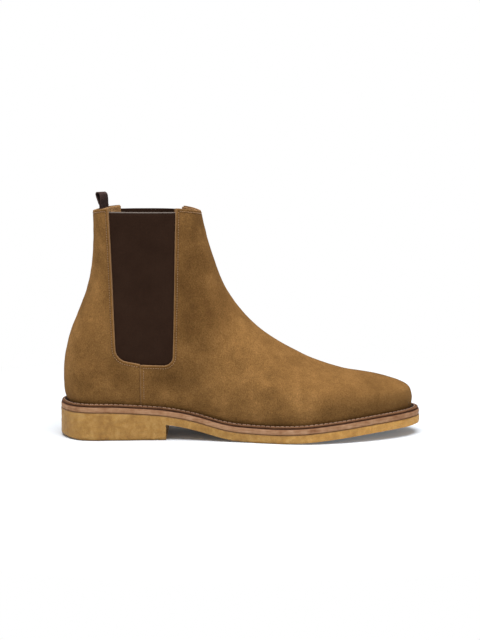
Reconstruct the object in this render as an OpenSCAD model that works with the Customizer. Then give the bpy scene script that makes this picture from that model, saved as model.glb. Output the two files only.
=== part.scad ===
// Chelsea boot, right foot, men's size 43. Millimetres, +Z up, toe towards +X, inner side towards +Y.
// Lengths along the boot run from the back of the sole, and place() moves the origin under the heel.

/* [Size] */
// Length of the sole from back to toe
sole_len = 304; // [280:1:320]
// Height of the suede topline above the ground at the back and the front
top_z = 188.5; // [185:0.5:195]
// How much higher the topline lies at the sides
collar_rise = 3.4; // [0:0.1:4]

/* [Sole] */
// Length of the heel
heel_len = 89; // [84:1:96]
// Thickness of the crepe outsole
crepe_t = 7; // [5:0.5:8]
// Thickness of the leather midsole
midsole_t = 5; // [3:0.5:6]
// Thickness of the welt
welt_t = 2; // [2:0.5:4]
// How far the sole edge stands out beyond the upper
sole_out = 5; // [3:0.5:6]
// How much further it stands out at the toe
toe_out = 2; // [0:0.5:3]
// Thickness of the insole board
insole_t = 3; // [2:0.5:4]
// Thickness of the sock liner
sock_t = 1.4; // [1:0.1:2]
// Thickness of the heel's bottom layer
top_piece_t = 6; // [4:0.5:8]

/* [Upper] */
// Thickness of the suede
suede_t = 1.5; // [1.2:0.1:2]
// Thickness of the elastic and the stiffeners
middle_t = 1.2; // [0.8:0.1:1.4]
// Thickness of the lining leather
lining_t = 1.1; // [0.8:0.1:1.4]
// Where the side seam below the elastic lies
seam_x = 68; // [64:0.5:72]

/* [Elastic gore] */
// Back edge of the gore opening at the topline
gore_back_top = 42.5; // [40:0.5:46]
// Back edge of the gore opening at its bottom
gore_back_low = 48; // [44:0.5:52]
// Front edge of the gore opening at the topline
gore_front_top = 98.5; // [94:0.5:100]
// Front edge of the gore opening at its bottom
gore_front_low = 95; // [90:0.5:98]
// How much further forward the inner side's gore lies
gore_shift = 4.5; // [0:0.5:6]
// Height of the bottom of the gore opening
gore_low_z = 63; // [60:0.5:70]
// Radius of the bottom corners of the opening
gore_corner_r = 8; // [4:0.5:10]
// How far the elastic runs on under the suede
gore_under = 8; // [5:0.5:10]
// How far the elastic's top edge lies below the topline at the back
gore_drop = 0.2; // [0:0.1:3]

/* [Pull tab] */
// Width of the webbing
tab_w = 11; // [8:0.5:14]
// Thickness of the webbing
tab_t = 1; // [0.6:0.1:1.1]
// Height of the loop above the topline
tab_h = 13.5; // [10:0.5:18]

/* [Stitching] */
// Distance from one stitch to the next in the upper
stitch_pitch = 2.5; // [2:0.5:5]
// Distance from one stitch to the next on the welt
welt_pitch = 6; // [5:0.5:8]
// Radius of the upper's thread
thread_r = 0.3; // [0.2:0.05:0.4]

/* [Hidden] */
SUEDE = "#916640";
ELASTIC = "#2f2019";
LINING = "#1d1a19";
CREPE = "#b08a4e";
LEATHER = "#b78b6a";
THREAD = "#8a6a44";
STEEL = "#9a9ca0";

gap = 0.05;                            // glue line between layers
last_len = 304;                        // sole length that the station tables below are drawn for
k = sole_len / last_len;
heel_shift = 46;                       // from the back of the sole to the origin
welt_top = midsole_t + welt_t;         // above the top of the crepe
margin_t = suede_t + gap;              // the suede's turned-under margin, below the insole
insole_low = welt_top + margin_t + gap;
insole_top = insole_low + insole_t;
sock_top = insole_top + gap + sock_t;
feather_h = 8;                         // feather line above the top of the crepe
rib_in = 9;                            // from the feather line to the insole rib
rib_t = 1.6;
welt_in = 0.8;                         // the welt's edge stays this far behind the crepe's
midsole_in = 0.2;                      // and the midsole's edge this far
ring_steps = 52;
levels_between = 3;                    // rings of facets from one level of the last to the next
outline_steps = 96;
far = 260;                             // reaches beyond the boot
above_top = 5;                         // the last runs on this far above the topline before it is cut

// Side profile: top of the crepe along the boot.
sole_line = [
    [-6, 23.2], [45, 22.8], [85, 20.2], [110, 16.1], [140, 8.9], [165, 7.0], [195, 7.4], [230, 10.4],
    [265, 13.8], [308, 16],
];
sole_line_x = [-6:7:309];              // places along it where a layer's edge is drawn
last_x = 309;
// Levels of the last from the feather line up to the topline: each starts at the back and ends on the ridge.
back_line = [
    [4, 31.1], [2.2, 37.5], [1.7, 46], [1.8, 56], [3.2, 68], [7.8, 86], [14.8, 104], [22, 124],
    [27, 150], [28, top_z + above_top],
];
ridge_line = [
    [296, 23.6], [296.4, 33], [291, 41.6], [268, 49.4], [236, 55.4], [203, 67.8], [168, 88.6],
    [140.6, 120.3], [126.3, 153.6], [116.5, top_z + above_top],
];
// Half width of each level at every 22.5 degrees of the turn from back to ridge.
half_width = [
    [25.5, 29.5, 26, 30.5, 43.5, 36, 19],
    [26.5, 31.5, 28.5, 34, 45, 37.5, 20],
    [26.5, 32.5, 30.5, 35, 43, 36, 18.5],
    [25.5, 32, 32, 34.5, 40, 31.5, 16.5],
    [24, 31, 33, 34, 36.5, 30, 15],
    [22, 30, 34, 34.5, 33.5, 27, 13.5],
    [19.5, 28.5, 33.5, 34.5, 32.5, 25.5, 13],
    [17, 27, 33, 34.5, 32, 24.5, 13],
    [16, 27, 34, 36, 34, 26, 14.5],
    [16.5, 28, 36, 38.5, 36.5, 28, 16],
];
// Centre line in plan at the same turns, with the back and the tip: on the feather line, and on the ridge.
feather_centre = [0, 0, 0, -1.5, -5.5, -2, 3, 6, 7];
ridge_centre = [0, 0, 0, 0, 0, 0.5, 1.5, 2.5, 3];
turn_step = 22.5;
centre_fade = 1.6;                     // how fast the feather line's centre gives way to the ridge's

// ---- curves ----
function before(p, i) = i < 0 ? 2 * p[0] - p[1] : p[i];
function after(p, i) = i >= len(p) ? 2 * p[len(p) - 1] - p[len(p) - 2] : p[i];
function cubic(a, b, c, d, f) =
    b + f * (c - a) / 2 + f * f * (a - 2.5 * b + 2 * c - d / 2) + f * f * f * (1.5 * (b - c) + (d - a) / 2);
function spline(p, s) =
    let (i = max(0, min(floor(s), len(p) - 2)))
    cubic(before(p, i - 1), p[i], p[i + 1], after(p, i + 2), s - i);
// Height of a curve of [x, z] points at x.
function height_at(p, x, i = 0) =
    i >= len(p) - 2 || x < p[i + 1][0]
    ? spline([for (q = p) q[1]], i + (x - p[i][0]) / (p[i + 1][0] - p[i][0]))
    : height_at(p, x, i + 1);
function sole_z(x) = height_at(sole_line, x);

// ---- the last ----
function fold(turn) = let (t = ((turn % 360) + 360) % 360) t > 180 ? 360 - t : t;
// A level's roundness: its half width over the sine of the turn, level at both ends.
function roundness(row) =
    let (g = [for (j = [0:6]) row[j] / sin(turn_step * (j + 1))]) concat([g[0]], g, [g[6]]);
ROUND = [for (row = half_width) roundness(row)];
function round_at(level, turn) =
    let (i = max(0, min(floor(level), len(ROUND) - 2)), s = fold(turn) / turn_step)
    cubic(
        spline(ROUND[max(i - 1, 0)], s), spline(ROUND[i], s), spline(ROUND[i + 1], s),
        spline(ROUND[min(i + 2, len(ROUND) - 1)], s), level - i
    );
function centre_at(level, turn) =
    let (
        s = fold(turn) / turn_step, w = level / (len(ROUND) - 1),
        m = min(1, centre_fade * w * w * (3 - 2 * w))
    )
    (1 - m) * spline(feather_centre, s) + m * (1 - w) * spline(ridge_centre, s);
// How far the feather line lies above the straight line from back to toe, a share u of the way along it.
function sag(u) =
    let (p = back_line[0] + (ridge_line[0] - back_line[0]) * u) sole_z(p[0]) + feather_h - p[1];
function last(level, turn) =
    let (
        b = spline(back_line, level), r = spline(ridge_line, level), u = (1 - cos(turn)) / 2,
        p = b + (r - b) * u, fade = max(0, 1 - level / (len(ROUND) - 1))
    )
    [k * p[0], centre_at(level, turn) - round_at(level, turn) * sin(turn), p[1] + fade * sag(u)];
function unit(v) = v / norm(v);
function last_normal(level, turn) =
    let (
        e = 0.02, a = last(level, turn + 1) - last(level, turn - 1),
        b = last(level + e, turn) - last(level - e, turn)
    )
    unit(cross(a, b));
function skin(level, turn, out) = last(level, turn) + out * last_normal(level, turn);

// A closed shell round the last between two depths, open at the foot and the top.
module shell(out, in) {
    rows = (len(ROUND) - 1) * levels_between;
    start = -0.3;
    side = [for (j = [0:ring_steps - 1]) j];
    function level_of(i) = i == 0 ? start : i / levels_between;
    function ring(i, d) = [for (j = side) skin(level_of(i), 360 * j / ring_steps, d)];
    points = concat([for (i = [0:rows]) each ring(i, out)], [for (i = [0:rows]) each ring(i, in)]);
    second = (rows + 1) * ring_steps;
    function at(s, i, j) = s * second + i * ring_steps + (j % ring_steps);
    function two(a, b, c, d) = [[a, b, c], [a, c, d]];
    faces = concat(
        [for (i = [0:rows - 1], j = side)
            each two(at(0, i, j), at(0, i + 1, j), at(0, i + 1, j + 1), at(0, i, j + 1))],
        [for (i = [0:rows - 1], j = side)
            each two(at(1, i, j), at(1, i, j + 1), at(1, i + 1, j + 1), at(1, i + 1, j))],
        [for (j = side) each two(at(0, 0, j), at(0, 0, j + 1), at(1, 0, j + 1), at(1, 0, j))],
        [for (j = side) each two(at(0, rows, j), at(1, rows, j), at(1, rows, j + 1), at(0, rows, j + 1))]
    );
    polyhedron(points, faces, convexity = 10);
}

// Draws a soft shape as one smooth mesh.
module soft() resize([0, 0, 0]) children();
module place() translate([-heel_shift, 0, 0]) children();
// Extrudes a side view, drawn in x and z, across the boot.
module across(y0 = -far, y1 = far)
    translate([0, y1, 0]) rotate([90, 0, 0]) linear_extrude(y1 - y0) children();
function above_line(dz) = [for (x = sole_line_x) [k * x, sole_z(x) + dz]];
module above(dz) across() polygon(concat(above_line(dz), [[k * last_x, far], [-6, far]]));
module below_top(z) translate([-far, -far, -far]) cube([3 * far, 2 * far, far + z]);
// The collar's top edge seen from the side: level at the back and the front, higher between them.
collar_mid = 72;
collar_half = 45;
function topline(x) = top_z + collar_rise * max(0, 1 - pow((x - collar_mid) / collar_half, 4));
module below_topline(drop) across() polygon(concat(
    [for (x = [collar_mid - collar_half:5:collar_mid + collar_half]) [k * x, topline(x) - drop]],
    [[2 * far, top_z - drop], [2 * far, -far], [-far, -far], [-far, top_z - drop]]
));

// ---- soles ----
// Points of the feather line moved out by a distance, seen from above.
function outline(out) =
    [for (i = [0:outline_steps - 1])
        let (
            t = 360 * i / outline_steps, p = last(0, t), a = last(0, t - 1), b = last(0, t + 1),
            n = unit([b[1] - a[1], a[0] - b[0]]), more = toe_out * pow((1 - cos(t)) / 2, 6)
        )
        [p[0], p[1]] + out * (1 + (out > 0 ? more / sole_out : 0)) * n];
// Cuts a plan to a layer of the sole between two heights above the top of the crepe.
module layer_of(z0, z1) {
    top = above_line(z1);
    intersection() {
        linear_extrude(far) children();
        across() polygon(concat(above_line(z0), [for (i = [len(top) - 1:-1:0]) top[i]]));
    }
}
module layer(out, z0, z1, out_hole = undef) layer_of(z0, z1) difference() {
    polygon(outline(out));
    if (out_hole != undef) polygon(outline(out_hole));
}
nail_spots = [[20, 0], [32, 14], [32, -14], [58, 14], [58, -14]];
nail_r = 1.1;
module nail_holes() for (p = nail_spots)
    translate([k * p[0], p[1], -1]) cylinder(r = nail_r, h = 60, $fn = 24);
// The ground outline of the heel, cut straight across at its breast.
module heel_plan(out) intersection() {
    polygon(outline(out));
    translate([-far, -far]) square([far + heel_len, 2 * far]);
}

module outsole() color(CREPE) place() difference() {
    intersection() {
        layer(sole_out, -crepe_t, -gap);
        translate([-far, -far, 0]) cube(3 * far);
    }
    translate([0, 0, 10]) nail_holes();
}
module heel_slab(z0, z1) intersection() {
    translate([0, 0, z0]) linear_extrude(z1 - z0) heel_plan(sole_out);
    across() polygon(concat(above_line(-crepe_t - gap), [[k * last_x, -1], [-6, -1]]));
}
module heel_lift() color(CREPE) place() difference() {
    heel_slab(top_piece_t + gap, 30);
    nail_holes();
}
module top_piece() color(CREPE) place() heel_slab(0, top_piece_t);
module midsole() color(LEATHER) place() difference() {
    layer(sole_out - midsole_in, 0, midsole_t - gap);
    nail_holes();
}
module welt() color("#3a2a20") place()
    layer(sole_out - welt_in, midsole_t, welt_top - gap, -rib_in + gap);
inside = suede_t + middle_t + lining_t; // from the last's surface to the inside of the lining
insole_in = 0.6;
sock_in = 1.2;
module insole() color("#c9a57c") place() difference() {
    layer(-inside - insole_in, insole_low, insole_top);
    nail_holes();
}
module insole_rib() color("#d8cfb8") place()
    layer(-rib_in, midsole_t + gap, insole_low - gap, -rib_in - rib_t);
module sock_liner() color(LINING) place() layer(-inside - sock_in, insole_top + gap, sock_top);
cushion_in = 12;
cushion_end = 78;
cushion_t = 1.6;
module heel_cushion() color("#2b2522") place() layer_of(sock_top + gap, sock_top + cushion_t)
    polygon([for (p = outline(-cushion_in)) if (p[0] < k * cushion_end) p]);
shank_x0 = 62;
shank_x1 = 158;
shank_w = 12;
shank_t = 1.6;
shank_up = 1.4;                        // above the midsole
shank_y = -2;                          // its middle, under the waist's own middle
shank_side = [for (x = [shank_x0:12:shank_x1]) [k * x, sole_z(x) + midsole_t + shank_up]];
module shank_bar(grow) across(shank_y - shank_w / 2 - grow, shank_y + shank_w / 2 + grow) polygon(concat(
    [for (p = shank_side) p - [0, grow]],
    [for (i = [len(shank_side) - 1:-1:0]) shank_side[i] + [0, shank_t + grow]]
));
module shank() color(STEEL) place() shank_bar(0);
module cork_filler() color("#a9794a") place() difference() {
    layer(-rib_in - rib_t - gap, midsole_t + gap, insole_low - gap);
    shank_bar(gap);
    nail_holes();
}
nail_low = top_piece_t + 3;
module heel_nails() color(STEEL) place() for (p = nail_spots) translate([k * p[0], p[1], nail_low])
    cylinder(r = nail_r - 0.02, h = sole_z(p[0]) + insole_top - gap - nail_low, $fn = 24);

// ---- upper ----
// The gore opening seen from the side; its sides run on straight above the topline.
above_collar = 30;
gore_back_up = gore_back_top - 1.3;
gore_front_up = gore_front_top + 0.8;
module gore_shape(grow) offset(r = grow) offset(r = gore_corner_r) offset(delta = -gore_corner_r) polygon([
    [k * gore_back_up, top_z + above_collar], [k * gore_back_low, gore_low_z + 4.2],
    [k * seam_x, gore_low_z + 0.4], [k * gore_front_low, gore_low_z - 0.8],
    [k * gore_front_up, top_z + above_collar],
]);
function shift_of(side) = side > 0 ? gore_shift : 0;
module gore_side(side, grow)
    across(side < 0 ? -far : 0, side < 0 ? 0 : far) translate([shift_of(side), 0]) gore_shape(grow);
module suede_shell() intersection() {
    shell(0, -suede_t);
    above(welt_top);
    below_topline(0);
}
// The suede's margin, turned under and sewn to the welt.
module suede_margin() layer(-0.6, welt_top, welt_top + suede_t, -rib_in + gap);
// The space on the other side of the side seam, which the front or the back piece leaves free.
module beyond_seam(front) across()
    translate([front ? k * seam_x + gap - far : k * seam_x - gap, -1]) square([far, far]);
module suede_part(front) soft() difference() {
    union() {
        suede_shell();
        suede_margin();
    }
    for (side = [-1, 1]) gore_side(side, 0);
    beyond_seam(front);
}
module vamp() color(SUEDE) place() suede_part(true);
module quarter() color(SUEDE) place() suede_part(false);

middle_out = suede_t + gap;
middle_in = middle_out + middle_t;
module middle_shell() intersection() {
    shell(-middle_out, -middle_in);
    above(welt_top + margin_t + gap);
    below_top(top_z - gore_drop);
}
module gore(side) soft() difference() {
    intersection() {
        middle_shell();
        gore_side(side, gore_under);
    }
    if (side > 0) tab_space(2 * gap);      // the corner that is trimmed away for the pull tab
}
module gore_lateral() color(ELASTIC) place() gore(-1);
module gore_medial() color(ELASTIC) place() gore(1);
puff_x = 248;
module toe_puff() color("#d9c9a4") place() soft() intersection() {
    middle_shell();
    translate([k * puff_x, -far, -1]) cube(2 * far);
}
// The counter cups the heel: high at the back, low under the gores.
counter_side = [[-6, 0], [90, 0], [86, 36], [66, 48], [38, 52], [30, 68], [18, 82], [-6, 86]];
module heel_counter() color("#c8b48c") place() soft() intersection() {
    middle_shell();
    across() polygon([for (p = counter_side) [k * p[0], p[1]]]);
}
tape_h = 7;
tape_z = top_z - 21;
module collar_tape(x0, x1) soft() intersection() {
    middle_shell();
    translate([x0, -far, tape_z]) cube([x1 - x0, 2 * far, tape_h]);
}
tape_gap = 2;                          // between the tape's end and the elastic
module collar_tape_front() color("#e5e0d2") place()
    collar_tape(k * (gore_front_top + gore_under + tape_gap) + gore_shift, far);
module collar_tape_back() color("#e5e0d2") place()
    collar_tape(-6, k * (gore_back_top - gore_under - tape_gap));
lining_out = middle_in + gap;
module lining_part(front) soft() difference() {
    intersection() {
        shell(-lining_out, -lining_out - lining_t);
        above(welt_top + margin_t + gap);
        below_topline(0.8);
    }
    for (side = [-1, 1]) gore_side(side, 0);
    beyond_seam(front);
    if (!front) tab_space(gap);
}
module vamp_lining() color(LINING) place() lining_part(true);
module quarter_lining() color("#a67b4f") place() lining_part(false);

// ---- pull tab: webbing folded into a loop, its two ends sewn in between quarter and lining ----
tab_turn = 333;                        // a little to the inner side of the centre back
tab_level = 8.9;
tab_sunk = 11;                         // length of the ends below the topline
tab_lean = 5;                          // degrees that the loop leans outwards
tab_bulge = 1.9;                       // half the loop's depth near its top
tab_foot = skin(tab_level, tab_turn, -middle_out - tab_t);
tab_z = topline(tab_foot[0] / k) + 0.6;
tab_angle = let (n = last_normal(tab_level, tab_turn)) atan2(n[1], n[0]);
module at_tab() translate([tab_foot[0], tab_foot[1], tab_z]) rotate([0, 0, tab_angle]) children();
module tab_space(grow) intersection() {
    shell(-middle_out + grow, -middle_out - 2 * tab_t - grow);
    at_tab() translate([-far / 10, -tab_w / 2 - grow, -tab_sunk - grow])
        cube([far / 5, tab_w + 2 * grow, tab_sunk + 2 * grow + 0.6]);
}
// The loop seen from its edge: pinched at the collar, rounded over at the top.
module loop_profile() difference() {
    hull() {
        translate([0, tab_h - tab_bulge]) circle(r = tab_bulge, $fn = 40);
        translate([-tab_t, 0.1]) square([2 * tab_t, 1]);
    }
    hull() {
        translate([0, tab_h - tab_bulge]) circle(r = tab_bulge - tab_t, $fn = 40);
        translate([-0.05, tab_h / 4]) square([0.1, 1]);
    }
}
module pull_tab() color("#3b2b27") place() soft() {
    tab_space(0);
    at_tab() rotate([0, tab_lean, 0]) rotate([90, 0, 0]) linear_extrude(tab_w, center = true) loop_profile();
}

// ---- stitching: every stitch is its own short piece of thread, lying on the face ----
on_face = thread_r + 0.12;
module stitch(from, to, r) {
    d = to - from;
    translate(from) rotate([0, acos(d[2] / norm(d)), atan2(d[1], d[0])])
        cylinder(r = r, h = norm(d), $fn = 16);
}
// The turn at which a level of the last passes x, on the outer side of the foot.
function turn_at(level, x) =
    let (b = spline(back_line, level)[0], r = spline(ridge_line, level)[0])
    acos(max(-1, min(1, 1 - 2 * (x - b) / (r - b))));
// The level at which the last, at x, reaches a height: halving the span twelve times finds it.
function level_at(x, z, lo = 0, hi = 9, n = 12) =
    let (m = (lo + hi) / 2)
    n == 0 ? m : last(m, turn_at(m, x))[2] < z ? level_at(x, z, m, hi, n - 1) : level_at(x, z, lo, m, n - 1);
// The point above the suede's face at x and z, on the outer (-1) or inner (1) side of the foot.
function on_suede(x, z, side) =
    let (v = level_at(x, z), t = turn_at(v, x)) skin(v, side < 0 ? t : 360 - t, on_face);
// A straight row, as seen from the side, on both sides of the boot. A row along the gore follows its shift.
module stitch_row(a, b, a_shifts = 1, b_shifts = 1) for (side = [-1, 1]) {
    from = a + [a_shifts * shift_of(side), 0];
    to = b + [b_shifts * shift_of(side), 0];
    n = round(norm(to - from) / stitch_pitch);
    for (i = [0:n - 1]) {
        p = from + (to - from) * (i + 0.2) / n;
        q = from + (to - from) * (i + 0.8) / n;
        stitch(on_suede(p[0], p[1], side), on_suede(q[0], q[1], side), thread_r);
    }
}
// The level at which a turn of the last reaches a height near the collar.
function level_up(turn, z, lo = 7.5, hi = 9, n = 10) =
    let (m = (lo + hi) / 2)
    n == 0 ? m : last(m, turn)[2] < z ? level_up(turn, z, m, hi, n - 1) : level_up(turn, z, lo, m, n - 1);
row_in = 2.6;                          // from the suede's edge to the stitching
collar_level = 8.8;
function collar_point(turn) =
    skin(level_up(turn, topline(last(collar_level, turn)[0] / k) - row_in), turn, on_face);
// A row round the collar between two turns.
module collar_row(t0, t1) {
    r = norm(last(collar_level, t0 + 10) - last(collar_level, t0)) / 10;
    n = round((t1 - t0) * r / stitch_pitch);
    step = (t1 - t0) / n;
    for (i = [0:n - 1])
        stitch(collar_point(t0 + step * (i + 0.2)), collar_point(t0 + step * (i + 0.8)), thread_r);
}
row_top = top_z - 7;
row_low = gore_low_z - row_in;
corner = gore_corner_r;
front_top = gore_front_top + row_in;
back_top = gore_back_top - row_in;
module vamp_stitching() color(THREAD) place() {
    stitch_row([front_top, row_top], [gore_front_low + row_in + 0.4, gore_low_z + corner]);
    stitch_row([gore_front_low + 1 - corner, row_low - 0.6], [seam_x + row_in, row_low + 0.2], b_shifts = 0);
    stitch_row([seam_x + row_in, row_low - 4], [seam_x + row_in, 37], 0, 0);
    collar_row(turn_at(collar_level, front_top), 360 - turn_at(collar_level, front_top + gore_shift));
}
module quarter_stitching() color(THREAD) place() {
    stitch_row([back_top, row_top], [gore_back_low - row_in - 0.3, gore_low_z + corner + 2]);
    stitch_row([gore_back_low + corner, row_low + 2.4], [seam_x - row_in, row_low + 0.8], b_shifts = 0);
    collar_row(-turn_at(collar_level, back_top + gore_shift), turn_at(collar_level, back_top));
}
welt_thread_r = 0.4;
welt_row = outline(sole_out - 3);
function welt_row_at(s) =
    let (
        i = floor(s), a = welt_row[i % outline_steps], b = welt_row[(i + 1) % outline_steps],
        p = a + (b - a) * (s - i)
    )
    [p[0], p[1], sole_z(p[0] / k) + welt_top + welt_thread_r + 0.12];
module welt_stitching() color("#c9a184") place() for (i = [0:outline_steps - 1]) {
    n = max(1, round(norm(welt_row[(i + 1) % outline_steps] - welt_row[i]) / welt_pitch));
    for (j = [0:n - 1])
        stitch(welt_row_at(i + (j + 0.2) / n), welt_row_at(i + (j + 0.8) / n), welt_thread_r);
}

vamp();
quarter();
gore_lateral();
gore_medial();
vamp_lining();
quarter_lining();
toe_puff();
heel_counter();
collar_tape_front();
collar_tape_back();
pull_tab();
vamp_stitching();
quarter_stitching();
welt();
welt_stitching();
insole();
insole_rib();
cork_filler();
shank();
midsole();
outsole();
heel_lift();
top_piece();
heel_nails();
sock_liner();
heel_cushion();
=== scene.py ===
import math

import bpy
import numpy as np
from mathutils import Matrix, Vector


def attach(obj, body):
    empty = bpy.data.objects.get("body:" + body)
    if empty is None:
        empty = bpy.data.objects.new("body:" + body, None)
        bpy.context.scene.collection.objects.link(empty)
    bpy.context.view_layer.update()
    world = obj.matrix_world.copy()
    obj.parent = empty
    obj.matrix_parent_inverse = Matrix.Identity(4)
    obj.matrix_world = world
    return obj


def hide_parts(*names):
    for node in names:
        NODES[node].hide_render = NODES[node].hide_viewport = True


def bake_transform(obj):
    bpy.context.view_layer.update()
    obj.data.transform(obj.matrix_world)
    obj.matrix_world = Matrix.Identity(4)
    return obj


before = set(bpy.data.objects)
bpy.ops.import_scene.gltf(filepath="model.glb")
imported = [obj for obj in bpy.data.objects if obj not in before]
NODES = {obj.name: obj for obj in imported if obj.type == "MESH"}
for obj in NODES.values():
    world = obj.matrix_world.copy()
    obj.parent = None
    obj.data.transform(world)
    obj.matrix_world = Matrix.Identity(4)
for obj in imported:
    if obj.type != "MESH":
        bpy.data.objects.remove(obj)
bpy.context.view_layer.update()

# A chelsea boot. Lengths are millimetres, x from the back of the sole. row() turns them into the frame.
MM = 0.001
HEEL_MID = 46.0

# ---- the last
TOP = 188.5
SOLE = np.array([[-6, 23.2], [45, 22.8], [85, 20.2], [110, 16.1], [140, 8.9], [165, 7.0], [195, 7.4],
                 [230, 10.4], [265, 13.8], [308, 16]], float)
BACK = np.array([[4, 31.1], [2.2, 37.5], [1.7, 46], [1.8, 56], [3.2, 68], [7.8, 86], [14.8, 104],
                 [22, 124], [27, 150], [28, TOP + 5]], float)
RIDGE = np.array([[296, 23.6], [296.4, 33], [291, 41.6], [268, 49.4], [236, 55.4], [203, 67.8],
                  [168, 88.6], [140.6, 120.3], [126.3, 153.6], [116.5, TOP + 5]], float)
HALF = np.array([
    [25.5, 29.5, 26, 30.5, 43.5, 36, 19], [26.5, 31.5, 28.5, 34, 45, 37.5, 20],
    [26.5, 32.5, 30.5, 35, 43, 36, 18.5], [25.5, 32, 32, 34.5, 40, 31.5, 16.5],
    [24, 31, 33, 34, 36.5, 30, 15], [22, 30, 34, 34.5, 33.5, 27, 13.5],
    [19.5, 28.5, 33.5, 34.5, 32.5, 25.5, 13], [17, 27, 33, 34.5, 32, 24.5, 13],
    [16, 27, 34, 36, 34, 26, 14.5], [16.5, 28, 36, 38.5, 36.5, 28, 16]], float)
FEATHER_MID = np.array([0, 0, 0, -1.5, -5.5, -2, 3, 6, 7], float)
RIDGE_MID = np.array([0, 0, 0, 0, 0, 0.5, 1.5, 2.5, 3], float)
ROUND = HALF / np.sin(np.radians(22.5 * np.arange(1, 8)))
ROUND = np.hstack([ROUND[:, :1], ROUND, ROUND[:, -1:]])
FEATHER_H = 8.0


def cubic(a, b, c, d, f):
    return b + f * (c - a) / 2 + f * f * (a - 2.5 * b + 2 * c - d / 2) + f**3 * (1.5 * (b - c) + (d - a) / 2)


def spline(p, s):
    s = np.asarray(s, float)
    i = np.clip(np.floor(s).astype(int), 0, len(p) - 2)
    f = s - i
    ext = np.concatenate([[2 * p[0] - p[1]], p, [2 * p[-1] - p[-2]]])
    if p.ndim > 1:
        f = f[..., None]
    return cubic(ext[i], ext[i + 1], ext[i + 2], ext[i + 3], f)


def sole_z(x):
    x = np.asarray(x, float)
    i = np.clip(np.searchsorted(SOLE[:, 0], x, side="right") - 1, 0, len(SOLE) - 2)
    return spline(SOLE[:, 1], i + (x - SOLE[i, 0]) / (SOLE[i + 1, 0] - SOLE[i, 0]))


def fold(t):
    t = np.mod(t, 360.0)
    return np.where(t > 180, 360 - t, t)


def roundness(v, t):
    s = fold(t) / 22.5
    i = np.clip(np.floor(v).astype(int), 0, len(ROUND) - 2)
    j = np.clip(np.floor(s).astype(int), 0, 7)
    f = s - j
    ext = np.hstack([2 * ROUND[:, :1] - ROUND[:, 1:2], ROUND, 2 * ROUND[:, -1:] - ROUND[:, -2:-1]])

    def row(k):
        k = np.clip(k, 0, len(ROUND) - 1)
        return cubic(ext[k, j], ext[k, j + 1], ext[k, j + 2], ext[k, j + 3], f)

    return cubic(row(i - 1), row(i), row(i + 1), row(i + 2), v - i)


def centre_y(v, t):
    s = fold(t) / 22.5
    w = v / 9
    m = np.minimum(1, 1.6 * w * w * (3 - 2 * w))
    return (1 - m) * spline(FEATHER_MID, s) + m * (1 - w) * spline(RIDGE_MID, s)


def last(v, t):
    """The point of the last at a level 0..9 and a turn in degrees, 0 at the back, 90 on the outer side."""
    v, t = np.broadcast_arrays(np.asarray(v, float), np.asarray(t, float))
    b, r = spline(BACK, v), spline(RIDGE, v)
    u = (1 - np.cos(np.radians(t))) / 2
    p = b + (r - b) * u[..., None]
    q = BACK[0] + (RIDGE[0] - BACK[0]) * u[..., None]
    lift = np.maximum(0, 1 - v / 9) * (sole_z(q[..., 0]) + FEATHER_H - q[..., 1])
    y = centre_y(v, t) - roundness(v, t) * np.sin(np.radians(t))
    return np.stack([p[..., 0], y, p[..., 1] + lift], -1)


def last_normal(v, t):
    v, t = np.broadcast_arrays(np.asarray(v, float), np.asarray(t, float))
    a = last(v, t + 0.5) - last(v, t - 0.5)
    b = last(v + 0.02, t) - last(v - 0.02, t)
    n = np.cross(a, b)
    return n / np.linalg.norm(n, axis=-1, keepdims=True)


def skin(v, t, out):
    return last(v, t) + np.asarray(out, float)[..., None] * last_normal(v, t)


def turn_at(v, x):
    b, r = spline(BACK, v)[..., 0], spline(RIDGE, v)[..., 0]
    return np.degrees(np.arccos(np.clip(1 - 2 * (x - b) / (r - b), -1, 1)))


def find_on_last(x, z, side):
    """Level and turn of the last's point at x and z, on the outer (-1) or inner (1) side."""
    x, z = np.broadcast_arrays(np.asarray(x, float), np.asarray(z, float))
    lo, hi = np.full(x.shape, -0.5), np.full(x.shape, 9.3)
    for _ in range(26):
        m = (lo + hi) / 2
        low = last(m, turn_at(m, x))[..., 2] < z
        lo, hi = np.where(low, m, lo), np.where(low, hi, m)
    v = (lo + hi) / 2
    t = turn_at(v, x)
    return v, (t if side < 0 else 360 - t)


# ---- outlines on the side view
SEAM_X = 68.0
CORNER_R = 8.0
GORE_BACK = ((41.2, TOP + 30), (48.0, 67.2))
GORE_LOW = ((SEAM_X, 63.4), (SEAM_X, 62.8))
GORE_FRONT = ((95.0, 62.2), (99.3, TOP + 30))
GORE_UNDER = 8.0
GORE_SHIFT = 4.5      # how much further forward the inner side's opening lies
COLLAR_MID, COLLAR_HALF, COLLAR_RISE = 72.0, 45.0, 3.4


def topline(x):
    """Height of the suede's top edge: level at the back and the front, higher between them."""
    return TOP + COLLAR_RISE * np.maximum(0, 1 - ((x - COLLAR_MID) / COLLAR_HALF) ** 4)


def topline_slope(x):
    return (topline(x + 0.1) - topline(x - 0.1)) / 0.2


def opening_x(p):
    """x on the outer side's opening that matches a point's place on its own side."""
    return p[..., 0] - np.where(p[..., 1] > 0, GORE_SHIFT, 0)


def line_dist(p, q, x, z):
    d = math.hypot(q[0] - p[0], q[1] - p[1])
    return ((q[1] - p[1]) * (x - p[0]) - (q[0] - p[0]) * (z - p[1])) / d


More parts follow.
